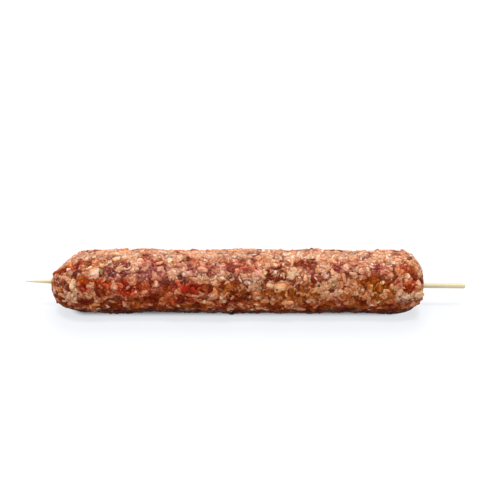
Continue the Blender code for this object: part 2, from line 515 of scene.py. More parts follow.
def most(tree, first, second):
    return maths(tree, "MAXIMUM", first, second)


def clamped(tree, value):
    return node(tree, "ShaderNodeClamp", {0: value}).outputs[0]


def vectors(tree, operation, *values):
    return node(tree, "ShaderNodeVectorMath", dict(enumerate(values)), operation=operation).outputs["Vector"]


def scaled(tree, vector, factor):
    keys = {0: vector, "Scale": factor}
    return node(tree, "ShaderNodeVectorMath", keys, operation="SCALE").outputs["Vector"]


def measured(tree, operation, *values):
    """A length or a dot product of vectors."""
    return node(tree, "ShaderNodeVectorMath", dict(enumerate(values)), operation=operation).outputs["Value"]


def joined(tree, x, y=0.0, z=0.0):
    return node(tree, "ShaderNodeCombineXYZ", {0: x, 1: y, 2: z}).outputs[0]


def position(tree):
    return node(tree, "GeometryNodeInputPosition").outputs[0]


def moved(tree, geometry, **inputs):
    """The geometry's points set to a Position, or moved by an Offset."""
    return node(tree, "GeometryNodeSetPosition", {"Geometry": geometry, **inputs}).outputs[0]


def stored(tree, geometry, name, value, kind="FLOAT_VECTOR", domain="POINT"):
    """The geometry with an attribute of that name."""
    keys = {"Geometry": geometry, "Name": name, "Value": value}
    return node(tree, "GeometryNodeStoreNamedAttribute", keys, data_type=kind, domain=domain).outputs[0]


def ramp(tree, value, start, end, low=0.0, high=1.0):
    """A smooth step of value, from low at start to high at end."""
    keys = {"Value": value, "From Min": start, "From Max": end, "To Min": low, "To Max": high}
    return node(tree, "ShaderNodeMapRange", keys, interpolation_type="SMOOTHSTEP").outputs["Result"]


def mixed(tree, share, first, second):
    """A colour between two, by share."""
    return node(tree, "ShaderNodeMix", {0: share, 6: first, 7: second}, data_type="RGBA").outputs[2]


def between(tree, share, first, second):
    """A number between two, by share."""
    return node(tree, "ShaderNodeMix", {0: share, 2: first, 3: second}, data_type="FLOAT").outputs[0]


def shaded(tree, colour, value):
    """A colour made darker or lighter."""
    return node(tree, "ShaderNodeHueSaturation", {"Value": value, "Color": colour}).outputs[0]


def axes(tree, vector):
    return node(tree, "ShaderNodeSeparateXYZ", {0: vector}).outputs


def noisy(tree, place, reach, detail=2.0, output="Fac"):
    """Noise of that reach in metres."""
    keys = {"Vector": place, "Scale": maths(tree, "DIVIDE", 1.0, reach), "Detail": detail}
    return node(tree, "ShaderNodeTexNoise", keys).outputs[output]


def warped(tree, place, reach, distance):
    """The place, moved by up to that distance by noise of that reach."""
    drift = vectors(tree, "SUBTRACT", noisy(tree, place, reach, 1.0, "Color"), HALVES)
    return vectors(tree, "ADD", place, scaled(tree, drift, times(tree, distance, 2.0)))


def packing(tree, place, granule, strand):
    """Granules that fill space, each made of short strands that lie its own way. For granules, then strands:
    how far a point is from the nearest gap, in sizes, and three random shares: (gap, shares, gap, shares)."""
    uneven = warped(tree, place, times(tree, granule, 0.7), times(tree, granule, 0.20))
    uneven = warped(tree, uneven, times(tree, strand, 0.8), times(tree, strand, 0.20))
    gap, cell = cells(tree, uneven, granule)
    lie = vectors(tree, "NORMALIZE", vectors(tree, "SUBTRACT", cell, HALVES))
    along = measured(tree, "DOT_PRODUCT", uneven, lie)
    drawn = vectors(tree, "SUBTRACT", uneven, scaled(tree, lie, times(tree, along, 0.5)))
    fine_gap, fine_cell = cells(tree, drawn, strand)
    return gap, axes(tree, cell), fine_gap, axes(tree, fine_cell)


def cells(tree, place, size):
    """Random cells: the distance to the nearest wall, in sizes, and the cell's own random colour."""
    keys = {"Vector": place, "Scale": maths(tree, "DIVIDE", 1.0, size)}
    wall = node(tree, "ShaderNodeTexVoronoi", keys, feature="DISTANCE_TO_EDGE").outputs["Distance"]
    return wall, node(tree, "ShaderNodeTexVoronoi", keys).outputs["Color"]


def rounded(tree, gap, width):
    """The section of a round strand: 0 at its gap, rising steeply to 1 at that distance from it."""
    share = clamped(tree, maths(tree, "DIVIDE", gap, width))
    return maths(tree, "SQRT", times(tree, share, minus(tree, 2.0, share)))


def spot(tree, place, feature, rim, core):
    """1 inside one of the features set by hand, falling to 0 at its rim."""
    centre = on_log(feature.along / 1000, feature.angle)
    away = vectors(tree, "SUBTRACT", place, tuple(centre))
    long, wide = feature.long / 2000, feature.wide / 2000
    shrunk = vectors(tree, "DIVIDE", away, (long, wide, wide))
    return ramp(tree, measured(tree, "LENGTH", shrunk), rim, core)


def spots(tree, place, features, rim, core):
    """The greatest of the masks of several features, each by its share where it has one."""
    total = 0.0
    for feature in features:
        mask = times(tree, spot(tree, place, feature, rim, core), getattr(feature, "share", 1.0))
        total = most(tree, total, mask)
    return total


def on_log(along, angle):
    """The point of the log's outside at a distance along it and an angle up from the front, in degrees."""
    turn = math.radians(angle)
    return Vector((along, LOG_LOW.y * math.cos(turn), MIDDLE_Z + HALF_HEIGHT * math.sin(turn)))


def new_tree(name, kind, inputs, outputs):
    """A node group with its sockets, each named and typed: (tree, its input sockets, its output sockets)."""
    tree = bpy.data.node_groups.new(name, kind)
    for side, sockets in (("INPUT", inputs), ("OUTPUT", outputs)):
        for title, socket in sockets.items():
            tree.interface.new_socket(name=title, in_out=side, socket_type="NodeSocket" + socket)
    return tree, tree.nodes.new("NodeGroupInput").outputs, tree.nodes.new("NodeGroupOutput").inputs


# Geometry.


def relief_tree():
    """Turns a plain closed skin into packed granules of mince, flat where it lies on the table."""
    lengths = ("Granule", "Granule Relief", "Strand", "Strand Relief", "Inset", "Pressed Height")
    sockets = {"Geometry": "Geometry", **dict.fromkeys(lengths, "Float"), "Material": "Material"}
    tree, given, result = new_tree("Mince Relief", "GeometryNodeTree", sockets, {"Geometry": "Geometry"})
    keys = {"Value": position(tree), "Iterations": SMOOTHING}
    even = node(tree, "GeometryNodeBlurAttribute", keys, data_type="FLOAT_VECTOR").outputs[0]
    smooth = moved(tree, given["Geometry"], Position=even)
    place = position(tree)
    kept = stored(tree, smooth, PLACE, place)
    gap, granule, fine_gap, strand = packing(tree, place, given["Granule"], given["Strand"])
    coarse = times(tree, stood(tree, gap, GRANULE_EDGE, granule[0]), given["Granule Relief"])
    fine = times(tree, stood(tree, fine_gap, STRAND_EDGE, strand[0]), given["Strand Relief"])
    height = plus(tree, coarse, fine)
    pits = ramp(tree, noisy(tree, place, 0.0030), 0.62, 0.72, 0.0, PIT_DEPTH)
    ragged = warped(tree, place, 0.0012, 0.0004)
    holes = times(tree, spots(tree, ragged, HOLES, 1.1, 0.4), HOLE_DEPTH)
    height = minus(tree, height, plus(tree, pits, holes))
    # How deep a point lies, which the core's material darkens as painted shade.
    deepest = times(tree, given["Granule Relief"], -1.7)
    hollow = ramp(tree, height, times(tree, deepest, 0.2), deepest)
    marked = stored(tree, kept, HOLLOW, hollow, "FLOAT")
    normal = node(tree, "GeometryNodeInputNormal").outputs[0]
    rough = moved(tree, marked, Offset=scaled(tree, normal, minus(tree, height, given["Inset"])))
    finish(tree, lie_on_table(tree, rough, given["Pressed Height"]), given["Material"], result)
    return tree


def stood(tree, gap, width, own):
    """How far a round strand or granule stands out of a surface, each at its own level."""
    shape = minus(tree, rounded(tree, gap, width), 0.75)
    return plus(tree, shape, times(tree, minus(tree, own, 0.5), 0.8))


def lie_on_table(tree, geometry, pressed_height):
    """Draws the lowest part of a mesh down and presses it flat on the table."""
    spot = axes(tree, position(tree))
    drawn = ramp(tree, spot[2], times(tree, pressed_height, 0.5), pressed_height, 0.0005, 0.0)
    low = most(tree, minus(tree, spot[2], drawn), 0.0)
    return moved(tree, geometry, Position=joined(tree, spot[0], spot[1], low))


def finish(tree, geometry, material, result):
    soft = node(tree, "GeometryNodeSetShadeSmooth", {"Geometry": geometry})
    real = node(tree, "GeometryNodeRealizeInstances", {"Geometry": soft.outputs[0]})
    painted = node(tree, "GeometryNodeSetMaterial", {"Geometry": real.outputs[0], "Material": material})
    plug(tree, result["Geometry"], painted.outputs[0])


def crumbs_tree():
    """Scatters lumpy crumbs over a skin, turned at random, beside the lumps set by hand."""
    spread = ("Density", "Spacing", "Drawn To Pale", "Sunk", "Granule", "Strand")
    form = ("Size", "Size Spread", "Width", "Thickness", "Roundness", "Bluntness", "Lumpiness", "Bend")
    sockets = {
        "Geometry": "Geometry",
        **dict.fromkeys(("Stick", "Lumps"), "Object"),
        **dict.fromkeys(spread + form, "Float"),
        **dict.fromkeys(("Corners Along", "Corners Across", "Seed"), "Int"),
        "Material": "Material",
    }
    tree, given, result = new_tree("Scattered Crumbs", "GeometryNodeTree", sockets, {"Geometry": "Geometry"})
    points, normals = crumb_points(tree, given)
    seed = given["Seed"]
    largest = plus(tree, 1.0, given["Size Spread"])
    smallest = maths(tree, "DIVIDE", 1.0, largest)
    size = times(tree, given["Size"], random_share(tree, seed, 1, smallest, largest))
    width = times(tree, given["Width"], random_share(tree, seed, 2, 0.75, 1.3))
    thickness = times(tree, given["Thickness"], random_share(tree, seed, 3, 0.8, 1.25))
    sizes = joined(tree, size, times(tree, size, width), times(tree, size, thickness))
    turn = random_share(tree, seed, 4, 0.0, math.tau)
    corners = (given["Corners Along"], given["Corners Across"])
    scattered = crumbs_at(tree, given, points, normals, sizes, turn, corners)
    lumps = node(tree, "GeometryNodeObjectInfo", {"Object": given["Lumps"]}).outputs["Geometry"]
    marks = node(tree, "GeometryNodeMeshToPoints", {"Mesh": lumps}).outputs[0]
    facing, sizes, turn = named(tree, FACING), named(tree, SIZES), named(tree, TURN, "FLOAT")
    placed = crumbs_at(tree, given, marks, facing, sizes, turn, LUMP_CORNERS, LUMP_RAISED)
    both = node(tree, "GeometryNodeJoinGeometry")
    for crumbs in (placed, scattered):
        tree.links.new(crumbs, both.inputs[0])
    real = node(tree, "GeometryNodeRealizeInstances", {"Geometry": both.outputs[0]})
    settled = lie_on_table(tree, crumble(tree, real.outputs[0], given), CRUMB_PRESSED_HEIGHT)
    finish(tree, settled, given["Material"], result)
    return tree


def named(tree, name, kind="FLOAT_VECTOR"):
    return node(tree, "GeometryNodeInputNamedAttribute", {"Name": name}, data_type=kind).outputs[0]


def crumbs_at(tree, given, points, facing, sizes, turn, corners, raised=0.0):
    """Rounded blocks at points, with corners (along, across), facing out and sunk in, as instances."""
    height = axes(tree, position(tree))[2]
    pressed = plus(
        tree,
        ramp(tree, height, LOG_HIGH.z * 0.90, LOG_HIGH.z * 0.98, -raised, TOP_SUNK - raised),
        ramp(tree, height, LOG_HIGH.z * 0.30, LOG_HIGH.z * 0.12, 0.0, BOTTOM_SUNK),
    )
    deep = times(tree, axes(tree, sizes)[2], plus(tree, given["Sunk"], pressed))
    inwards = scaled(tree, scaled(tree, facing, -1.0), deep)
    lowered = moved(tree, stored(tree, points, FACING, facing), Offset=inwards)
    upright = node(tree, "FunctionNodeAlignRotationToVector", {"Vector": facing}, axis="Z").outputs[0]
    spin = node(tree, "FunctionNodeAxisAngleToRotation", {"Axis": (0.0, 0.0, 1.0), "Angle": turn}).outputs[0]
    keys = {0: upright, 1: spin}
    turned = node(tree, "FunctionNodeRotateRotation", keys, rotation_space="LOCAL").outputs[0]
    along, across = corners
    keys = {"Size": (1.0, 1.0, 1.0), "Vertices X": along, "Vertices Y": across, "Vertices Z": across}
    block = node(tree, "GeometryNodeMeshCube", keys).outputs[0]
    corner = position(tree)
    keys = {0: given["Roundness"], 4: corner, 5: capsule(tree, corner, given["Bluntness"])}
    shape = node(tree, "ShaderNodeMix", keys, data_type="VECTOR").outputs[1]
    crumb = stored(tree, moved(tree, block, Position=shape), OWN_PLACE, position(tree))
    keys = {"Points": lowered, "Instance": crumb, "Rotation": turned, "Scale": sizes}
    placed = node(tree, "GeometryNodeInstanceOnPoints", keys).outputs[0]
    share = random_share(tree, given["Seed"], 5, 0.0, 1.0)
    tagged = stored(tree, placed, SHARE, share, "FLOAT", "INSTANCE")
    return stored(tree, tagged, HOME, position(tree), domain="INSTANCE")


def capsule(tree, corner, bluntness):
    """A block's corner moved to a round bar: a ball where bluntness is 2, with blunt ends above that."""
    x, y, z = axes(tree, corner)
    along = maths(tree, "POWER", times(tree, maths(tree, "ABSOLUTE", x), 2.0), bluntness)
    square = plus(tree, times(tree, y, y), times(tree, z, z))
    across = maths(tree, "POWER", times(tree, maths(tree, "SQRT", square), 2.0), bluntness)
    reach = maths(tree, "POWER", plus(tree, along, across), maths(tree, "DIVIDE", 1.0, bluntness))
    return scaled(tree, corner, maths(tree, "DIVIDE", 1.0, reach))


def random_share(tree, seed, number, low, high):
    """A random number for each crumb; number tells apart what is drawn from one seed."""
    own = node(tree, "FunctionNodeIntegerMath", {0: seed, 1: number * SEED_STEP}, operation="ADD").outputs[0]
    return node(tree, "FunctionNodeRandomValue", {2: low, 3: high, "Seed": own}, data_type="FLOAT").outputs[1]


def crumb_points(tree, given):
    """Points on the skin, drawn to its pale patches or away from them, clear of the stick and of the table,
    with the skin's normals there: (points, normals)."""
    place = position(tree)
    stick = node(tree, "GeometryNodeObjectInfo", {"Object": given["Stick"]}).outputs["Geometry"]
    near = node(tree, "GeometryNodeProximity", {"Geometry": stick}, target_element="FACES").outputs
    clear = exceeds(tree, near["Distance"], times(tree, given["Size"], 0.5))
    above = exceeds(tree, axes(tree, place)[2], CLEAR_OF_TABLE)
    both = node(tree, "FunctionNodeBooleanMath", {0: clear, 1: above}, operation="AND").outputs[0]
    shares = patch_shares(tree, place)[1]
    granule = packing(tree, place, given["Granule"], given["Strand"])[1][0]
    fatty = plus(tree, shares["pale"], ramp(tree, granule, 0.35, 0.85, -0.15, 0.5))
    lean = times(tree, plus(tree, shares["red"], shares["wine"]), 0.35)
    fatty = clamped(tree, minus(tree, fatty, plus(tree, lean, shares["dark"])))
    drawn = times(tree, most(tree, given["Drawn To Pale"], 0.0), minus(tree, 1.0, fatty))
    driven = times(tree, maths(tree, "MINIMUM", given["Drawn To Pale"], 0.0), fatty)
    keys = {
        "Mesh": given["Geometry"],
        "Selection": both,
        "Distance Min": given["Spacing"],
        "Density Max": given["Density"],
        "Density Factor": minus(tree, plus(tree, 1.0, driven), drawn),
        "Seed": given["Seed"],
    }
    found = node(tree, "GeometryNodeDistributePointsOnFaces", keys, distribute_method="POISSON").outputs
    return found["Points"], found["Normal"]


def exceeds(tree, first, second):
    return node(tree, "FunctionNodeCompare", {0: first, 1: second}, operation="GREATER_THAN").outputs[0]


def drifted(tree, place, reach, distance):
    """A random push of up to about a third of that distance, by noise of that reach."""
    push = vectors(tree, "SUBTRACT", noisy(tree, place, reach, 0.0, "Color"), HALVES)
    return scaled(tree, push, distance)


def crumble(tree, geometry, given):
    """Bends each crumb along the skin, as a bar that keeps its section, and makes it lumpy in its own way."""
    place = position(tree)
    own, facing = named(tree, SHARE, "FLOAT"), named(tree, FACING)
    thrice = times(tree, own, 3.0)
    along = times(tree, axes(tree, named(tree, OWN_PLACE))[0], given["Size"])
    station = joined(tree, along, own, thrice)
    offset = drifted(tree, station, times(tree, given["Size"], 0.7), given["Bend"])
    up = measured(tree, "DOT_PRODUCT", offset, facing)
    offset = vectors(tree, "SUBTRACT", offset, scaled(tree, facing, times(tree, up, 0.9)))
    apart = vectors(tree, "ADD", place, joined(tree, own, thrice))
    lumps = drifted(tree, apart, CRUMB_LUMPS, times(tree, given["Size"], given["Lumpiness"]))
    return moved(tree, geometry, Offset=vectors(tree, "ADD", offset, lumps))


def run_tree(obj, tree, values):
    """Gives obj the tree's result as its own plain mesh, with each named input set."""
    modifier = obj.modifiers.new(tree.name, "NODES")
    modifier.node_group = tree
    names = {item.name: item.identifier for item in tree.interface.items_tree if item.in_out == "INPUT"}
    for name, value in values.items():
        modifier[names[name]] = value
    bake_modifiers(obj)


def bake_modifiers(obj):
    """Replaces obj's mesh by what its modifiers make of it, and removes them."""
    bpy.context.view_layer.update()
    graph = bpy.context.evaluated_depsgraph_get()
    made = bpy.data.meshes.new_from_object(obj.evaluated_get(graph), depsgraph=graph)
    obj.modifiers.clear()
    old, obj.data = obj.data, made
    made.name = obj.name
    bpy.data.meshes.remove(old)


def new_object(name, data):
    obj = bpy.data.objects.new(name, data)
    bpy.context.scene.collection.objects.link(obj)
    return obj


def stick_axis():
    """The stick's two end points on its axis, from the frame's own stick: (point end, cut end)."""
    corners = [vertex.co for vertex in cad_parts["bamboo_stick"].data.vertices]
    first, last = min(p.x for p in corners), max(p.x for p in corners)
    ends = []
    for end in (first, last):
        ring = [p for p in corners if abs(p.x - end) < 0.0002]
        low = Vector(map(min, zip(*ring)))
        high = Vector(map(max, zip(*ring)))
        ends.append((low + high) / 2)
    return ends


def solid_form():
    """The frame's log as one closed mesh, with its bore filled so that the mince meets the stick."""
    work = bmesh.new()
    work.from_mesh(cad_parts["minced_meat"].data)
    bmesh.ops.remove_doubles(work, verts=work.verts, dist=0.000002)
    point, cut = stick_axis()
    along = (cut - point).normalized()
    start = point + along * (LOG_LOW.x + DIMPLE - point.x)
    end = point + along * (LOG_HIGH.x - DIMPLE - point.x)
    turn = Vector((0.0, 0.0, 1.0)).rotation_difference(along).to_matrix().to_4x4()
    bmesh.ops.create_cone(
        work,
        cap_ends=True,
        segments=PLUG_SIDES,
        radius1=PLUG_RADIUS,
        radius2=PLUG_RADIUS,
        depth=(end - start).length,
        matrix=Matrix.Translation((start + end) / 2) @ turn,
    )
    mesh = bpy.data.meshes.new("meat_core")
    work.to_mesh(mesh)
    work.free()
    return mesh


def make_core(settings, material):
    core = new_object("meat_core", solid_form())
    skin = core.modifiers.new("Even Skin", "REMESH")
    skin.mode = "VOXEL"
    skin.voxel_size = settings.skin_detail
    bake_modifiers(core)
    values = {
        "Granule": settings.granule,
        "Granule Relief": settings.granule_relief,
        "Strand": settings.strand,
        "Strand Relief": settings.strand_relief,
        "Inset": settings.inset,
        "Pressed Height": PRESSED_HEIGHT,
        "Material": material,
    }
    run_tree(core, relief_tree(), values)
    return core


def lump_marks(kind, thickness):
    """A point on the core's skin for each hand-placed lump of a kind, with its facing, sizes and turn."""
    core = bpy.data.objects["meat_core"]
    found = [lump for lump in LUMPS if lump.kind == kind]
    mesh = bpy.data.meshes.new(kind + "_marks")
    places, facings, sizes, turns = [], [], [], []
    for lump in found:
        outside = on_log(lump.along / 1000, lump.angle)
        out = (outside - Vector((outside.x, 0.0, MIDDLE_Z))).normalized()
        _, place, normal, _ = core.ray_cast(outside + out * 0.01, -out)
        places.append(place)
        facings.append((out + normal * 0.5).normalized())
        long, wide = lump.long / 1000, lump.wide / 1000
        sizes.append((long, wide, thickness * (long + wide) / 2))
        turns.append(math.radians(lump.turn))
    mesh.from_pydata(places, [], [])
    for name, values in ((FACING, facings), (SIZES, sizes)):
        layer = mesh.attributes.new(name, "FLOAT_VECTOR", "POINT")
        layer.data.foreach_set("vector", [number for value in values for number in value])
    layer = mesh.attributes.new(TURN, "FLOAT", "POINT")
    layer.data.foreach_set("value", turns)
    return new_object(kind + "_marks", mesh)


def scatter(name, kind, material, **values):
    """One kind of crumb over the whole core, as one piece, with the lumps of that kind set by hand."""
    tree = bpy.data.node_groups.get("Scattered Crumbs") or crumbs_tree()
    marks = lump_marks(kind, max(values["thickness"], LUMP_THICKNESS))
    piece = new_object(name, bpy.data.objects["meat_core"].data.copy())
    piece.data.materials.clear()
    values = {title.replace("_", " ").title(): value for title, value in values.items()}
    values |= {"Stick": bpy.data.objects["bamboo_skewer"], "Lumps": marks, "Material": material}
    mince = bpy.context.scene.kofta_mince
    run_tree(piece, tree, {**values, "Granule": mince.granule, "Strand": mince.strand})
    bpy.data.objects.remove(marks)
    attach(piece, "root")
    return piece


# Materials.


def new_material(name, surface):
    """A material with one Principled shader and the surface's fixed values: (material, tree, shader)."""
    material = bpy.data.materials.new(name)
    material.use_nodes = True
    tree = material.node_tree
    shader = tree.nodes["Principled BSDF"]
    for key, value in surface.items():
        shader.inputs[key].default_value = value
    return material, tree, shader


def rgba(values):
    return (*values, 1.0)


def place_group(tree, group, inputs):
    return node(tree, "ShaderNodeGroup", inputs, node_tree=group).outputs


def stained(tree, place, kind):
    return spots(tree, place, [stain for stain in STAINS if stain.kind == kind], 1.25, 0.45)


def patch_shares(tree, place):
    """The patches that crumbs and colours follow: a ragged place, and the share of each kind there."""
    ragged = warped(tree, warped(tree, place, 0.0060, 0.0026), 0.0020, 0.0010)
    shares = {kind: stained(tree, ragged, kind) for kind in (*PATCHES, "plain")}
    taken = 0.0
    for kind in ("red", "wine", "amber", "plain", "dark"):
        taken = plus(tree, taken, shares[kind])
    free = clamped(tree, minus(tree, 1.0, taken))
    height = axes(tree, place)[2]
    upper = ramp(tree, height, LOG_HIGH.z * 0.25, LOG_HIGH.z * 0.65)
    lower = minus(tree, 1.0, upper)
    # Pale drifts are kept to the upper side, short of the very top: pale fat, and a painted sheen there.
    middle = times(tree, upper, ramp(tree, height, LOG_HIGH.z * 0.99, LOG_HIGH.z * 0.92))
    # Each kind's noise: its shift and reach, where it starts and ends, its highest share, and where it lies.
    drifts = (
        ("red", (0.0, 0.0, 0.0), 0.0065, 0.52, 0.64, 0.7, lower),
        ("wine", (0.23, 0.09, 0.41), 0.0060, 0.52, 0.64, 0.8, upper),
        ("amber", (0.53, 0.29, 0.13), 0.0080, 0.48, 0.62, 0.7, 1.0),
        ("pale", (0.31, 0.17, 0.05), 0.0075, 0.42, 0.58, 0.7, middle),
        ("dark", (0.11, 0.47, 0.25), 0.0050, 0.52, 0.62, 0.75, 1.0),
    )
    for kind, shift, reach, start, end, high, where in drifts:
        drift = ramp(tree, noisy(tree, vectors(tree, "ADD", place, shift), reach), start, end, 0.0, high)
        drift = times(tree, times(tree, drift, free), where)
        shares[kind] = most(tree, shares[kind], drift)
    return ragged, shares


def patches_group():
    """How the mince drifts over several granules: the share of each kind of mince, of the top that hands
    smeared with fat, and of the underside that juice soaked."""
    kinds = [kind.title() for kind in PATCHES]
    sockets = dict.fromkeys((*kinds, "Dry", "Soaked"), "Float")
    tree, given, result = new_tree("Mince Patches", "ShaderNodeTree", {"Place": "Vector"}, sockets)
    place = given["Place"]
    ragged, shares = patch_shares(tree, place)
    for kind in PATCHES:
        plug(tree, result[kind.title()], shares[kind])
    height = axes(tree, ragged)[2]
    # Dry is a painted sheen along the top of the log, paler in uneven patches.
    aside = maths(tree, "ABSOLUTE", axes(tree, ragged)[1])
    top = ramp(tree, aside, LOG_HIGH.y * 0.38, LOG_HIGH.y * 0.14)
    uneven = ramp(tree, noisy(tree, place, 0.0075), 0.38, 0.56, 0.3, 1.0)
    above = times(tree, uneven, ramp(tree, height, LOG_HIGH.z * 0.7, LOG_HIGH.z * 0.8))
    plug(tree, result["Dry"], times(tree, top, above))
    # Painted shade: darker towards the underside near the table.
    plug(tree, result["Soaked"], ramp(tree, height, LOG_HIGH.z * 0.35, LOG_HIGH.z * 0.12))
    return tree


def mince_group(settings, patches):
    """The colour of mince at a place: strands of lean, fat smeared on them, granules of fat and dark gaps."""
    shares = dict.fromkeys(("Share", "Fat Share", "Crumb"), "Float")
    sockets = {"Place": "Vector", "Fine Place": "Vector", **shares}
    results = {"Color": "Color", "Gap": "Float", "Height": "Float"}
    tree, given, result = new_tree("Mince Colour", "ShaderNodeTree", sockets, results)
    place, own = given["Place"], given["Share"]
    patch = place_group(tree, patches, {"Place": place})
    gap, granule, fine_gap, strand = packing(tree, place, settings.granule, settings.strand)
    single = between(tree, given["Crumb"], strand[0], own)
    fine = given["Fine Place"]
    mottled = ramp(tree, noisy(tree, warped(tree, fine, 0.0011, 0.0006), 0.0009, 3.0), 0.28, 0.72)
    tone = plus(tree, times(tree, single, 0.28), times(tree, mottled, 0.20))
    tone = plus(tree, tone, times(tree, granule[0], 0.52))
    lean = rgba(settings.lean)
    for kind in ("amber", "red", "wine"):
        lean = mixed(tree, patch[kind.title()], lean, rgba(getattr(settings, kind)))
    # Dry, the painted sheen along the top, pales the lean towards smeared fat and fat.
    faded = times(tree, most(tree, patch["Pale"], patch["Dry"]), 0.55)
    lean = mixed(tree, faded, lean, rgba(settings.smear))
    lean = mixed(tree, times(tree, patch["Dry"], 0.30), lean, rgba(settings.fat))
    lean = mixed(tree, patch["Mauve"], lean, rgba(settings.mauve))
    low = minus(tree, tone, times(tree, patch["Dark"], 0.14))
    # The painted sheen lifts the tone along the top.
    low = plus(tree, low, times(tree, patch["Dry"], 0.12))
    lean = mixed(tree, ramp(tree, low, 0.50, 0.16, 0.0, 0.9), lean, rgba(settings.deep))
    darkened = ramp(tree, patch["Dark"], 0.0, 1.0, 1.0, 0.60)
    lean = shaded(tree, lean, times(tree, ramp(tree, tone, 0.30, 0.85, 0.78, 1.33), darkened))
    # The painted sheen along the top also adds smeared fat and strands of fat.
    fatty = plus(tree, patch["Pale"], patch["Dry"])
    poor = patch["Dark"]
    for kind, share in (("Red", 0.65), ("Wine", 0.3), ("Amber", 0.3)):
        poor = plus(tree, poor, times(tree, patch[kind], share))
    rich = times(tree, minus(tree, fatty, poor), 0.26)
    smear = ramp(tree, plus(tree, tone, rich), 0.46, 0.82, 0.0, 0.90)
    colour = mixed(tree, smear, lean, rgba(settings.smear))
    likely = plus(tree, plus(tree, strand[1], rich), given["Fat Share"])
    fat = fat_colour(tree, settings, fine, strand[2])
    colour = mixed(tree, ramp(tree, likely, 0.93, 1.09, 0.0, 0.85), colour, fat)
    bare = minus(tree, 1.0, given["Crumb"])
    # Painted shade: the gaps between granules and strands, on the core's skin only.
    gaps = most(tree, ramp(tree, gap, 0.14, 0.0, 0.0, 0.6), ramp(tree, fine_gap, 0.18, 0.0, 0.0, 0.35))
    plug(tree, result["Gap"], times(tree, gaps, bare))
    edges = times(tree, rounded(tree, gap, GRANULE_EDGE), 0.8)
    edges = plus(tree, rounded(tree, fine_gap, STRAND_EDGE), edges)
    plug(tree, result["Height"], times(tree, edges, bare))
    # Painted shade towards the underside near the table.
    plug(tree, result["Color"], shaded(tree, colour, underside_shade(tree, patch)))
    return tree


def moist_group():
    """A moist film over mince: uneven roughness, and the height of its fibres and wet bumps."""
    sockets = {"Place": "Vector", "Driest": "Float", "Wettest": "Float"}
    results = dict.fromkeys(("Roughness", "Film", "Height"), "Float")
    tree, given, result = new_tree("Moist Film", "ShaderNodeTree", sockets, results)
    place = given["Place"]
    wet = ramp(tree, noisy(tree, place, 0.0036, 4.0), 0.38, 0.66)
    plug(tree, result["Roughness"], between(tree, wet, given["Driest"], given["Wettest"]))
    upper = ramp(tree, axes(tree, place)[2], LOG_HIGH.z * 0.30, LOG_HIGH.z * 0.62)
    plug(tree, result["Film"], times(tree, ramp(tree, wet, 0.3, 1.0, 0.02, 0.25), upper))
    plug(tree, result["Height"], noisy(tree, warped(tree, place, 0.0012, 0.0004), 0.00045, 4.0))
    return tree


def bumpy(tree, height, distance):
    keys = {"Height": height, "Distance": distance, "Strength": 1.0}
    return node(tree, "ShaderNodeBump", keys).outputs[0]


def attribute(tree, name, output="Vector"):
    return node(tree, "ShaderNodeAttribute", attribute_name=name).outputs[output]


def flesh(wetness):
    """The fixed values of a mince surface; wetness is how much it mirrors."""
    return {
        "Subsurface Weight": 0.60,
        "Subsurface Scale": 0.0010,
        "Subsurface Radius": (1.0, 0.3, 0.16),
        "Specular IOR Level": wetness,
        "Specular Tint": (1.0, 0.50, 0.32, 1.0),
        "Coat Roughness": 0.20,
    }


def mince_material(settings, groups):
    """The skin of the core, with dark juice in its gaps and hollows."""
    material, tree, shader = new_material("Raw Mince", flesh(0.05))
    place, hollow = attribute(tree, PLACE), attribute(tree, HOLLOW, "Fac")
    keys = {"Place": place, "Fine Place": place, "Share": 0.5, "Fat Share": settings.fat_share}
    mince = place_group(tree, groups["mince"], keys)
    # Painted shade: gaps and hollows are mixed towards the dark juice colour.
    dark = most(tree, mince["Gap"], hollow)
    colour = mixed(tree, times(tree, dark, 0.85), mince["Color"], rgba(settings.juice))
    plug(tree, shader.inputs["Base Color"], colour)
    film = place_group(tree, groups["moist"], {"Place": place, "Driest": 0.66, "Wettest": 0.40})
    plug(tree, shader.inputs["Roughness"], film["Roughness"])
    bare = minus(tree, 1.0, dark)
    plug(tree, shader.inputs["Coat Weight"], times(tree, film["Film"], bare))
    height = plus(tree, mince["Height"], times(tree, film["Height"], 0.7))
    plug(tree, shader.inputs["Normal"], bumpy(tree, height, 0.00022))
    return material


def fat_colour(tree, settings, place, own, rim=0.0):
    """The colour of raw fat: cream, with a pink tinge in places and towards its rim."""
    tinge = clamped(tree, plus(tree, ramp(tree, noisy(tree, place, 0.0016, 3.0), 0.38, 0.70), rim))
    warm = mixed(tree, tinge, rgba(settings.fat), rgba(settings.smear))
    return shaded(tree, warm, ramp(tree, own, 0.0, 1.0, 0.80, 1.12))


def crumb_material(name, groups, surface, paint):
    """A crumb's material. paint gives its colour from (tree, place, own random share)."""
    material, tree, shader = new_material(name, surface)
    place = node(tree, "ShaderNodeTexCoord").outputs["Object"]
    own = attribute(tree, SHARE, "Fac")
    plug(tree, shader.inputs["Base Color"], paint(tree, place, own))
    film = place_group(tree, groups["moist"], {"Place": place, "Driest": 0.60, "Wettest": 0.38})
    plug(tree, shader.inputs["Roughness"], film["Roughness"])
    plug(tree, shader.inputs["Coat Weight"], film["Film"])
    plug(tree, shader.inputs["Normal"], bumpy(tree, film["Height"], 0.00018))
    return material


def varied(base, dark, groups, cover):
    """Paints one colour, from its dark form to itself by the crumb's share, with some mince smeared on."""

    def paint(tree, place, own):
        blotch = ramp(tree, noisy(tree, place, 0.0008, 3.0), 0.3, 0.7)
        shade = plus(tree, times(tree, own, 0.5), times(tree, blotch, 0.5))
        plain = mixed(tree, shade, rgba(dark), rgba(base))
        return smeared(tree, groups, place, own, plain, cover)

    return paint


